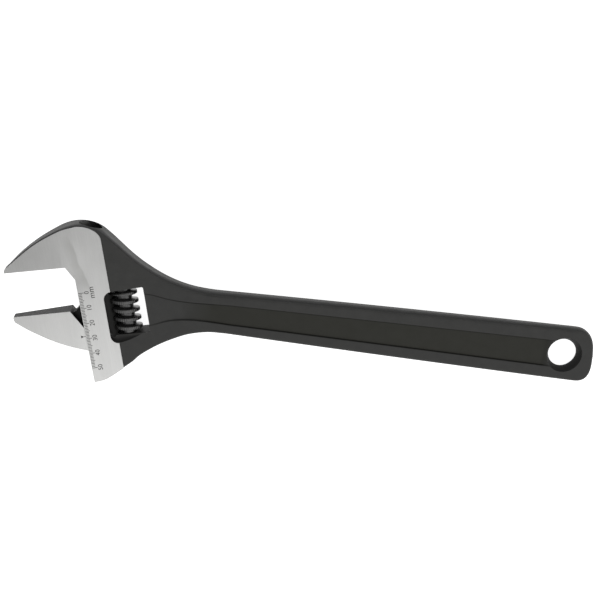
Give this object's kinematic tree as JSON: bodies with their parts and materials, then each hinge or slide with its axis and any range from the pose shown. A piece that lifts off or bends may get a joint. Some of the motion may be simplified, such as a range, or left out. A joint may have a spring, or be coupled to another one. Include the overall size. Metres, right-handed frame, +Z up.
{
  "type": "adjustable wrench",
  "caption": "Adjustable wrench with a wide-opening head: the jaw slides on a rail driven by a thumb worm, and the tapered handle has a hanging hole.",
  "frame": {"origin": "under the middle of the wrench's box, on the surface that the head's back face lies on", "axes": "+X along the handle from the jaws to the hanging hole, +Y towards the fixed jaw's side, +Z up through the thickness"},
  "size_m": [0.3812, 0.1012, 0.018],
  "materials": {
    "black_forging": "black phosphate, matt",
    "ground_steel": "fine ground, satin",
    "black_worm": "black oxide, half gloss",
    "pin_steel": "turned",
    "spring_steel": "drawn wire"
  },
  "bodies": {
    "wrench": {"body": "black_forging", "worm_pin": "pin_steel", "worm_spring": "spring_steel"},
    "jaw": {"movable_jaw": "ground_steel"},
    "worm": {"worm": "black_worm"}
  },
  "joints": [
    {"name": "jaw_slide", "type": "slide", "parent": "wrench", "child": "jaw", "axis": [0.2588, -0.9659, 0], "range_m": [-0.0288, 0.023]},
    {"name": "worm_spin", "type": "hinge", "parent": "wrench", "child": "worm", "pos_m": [-0.11454, -0.00266, 0.009], "axis": [0.2588, -0.9659, 0], "range_deg": [-1830, 1470]}
  ],
  "couplings": [
    {"joint": "worm_spin", "follows": "jaw_slide", "rad_per_m": 1102.3}
  ]
}
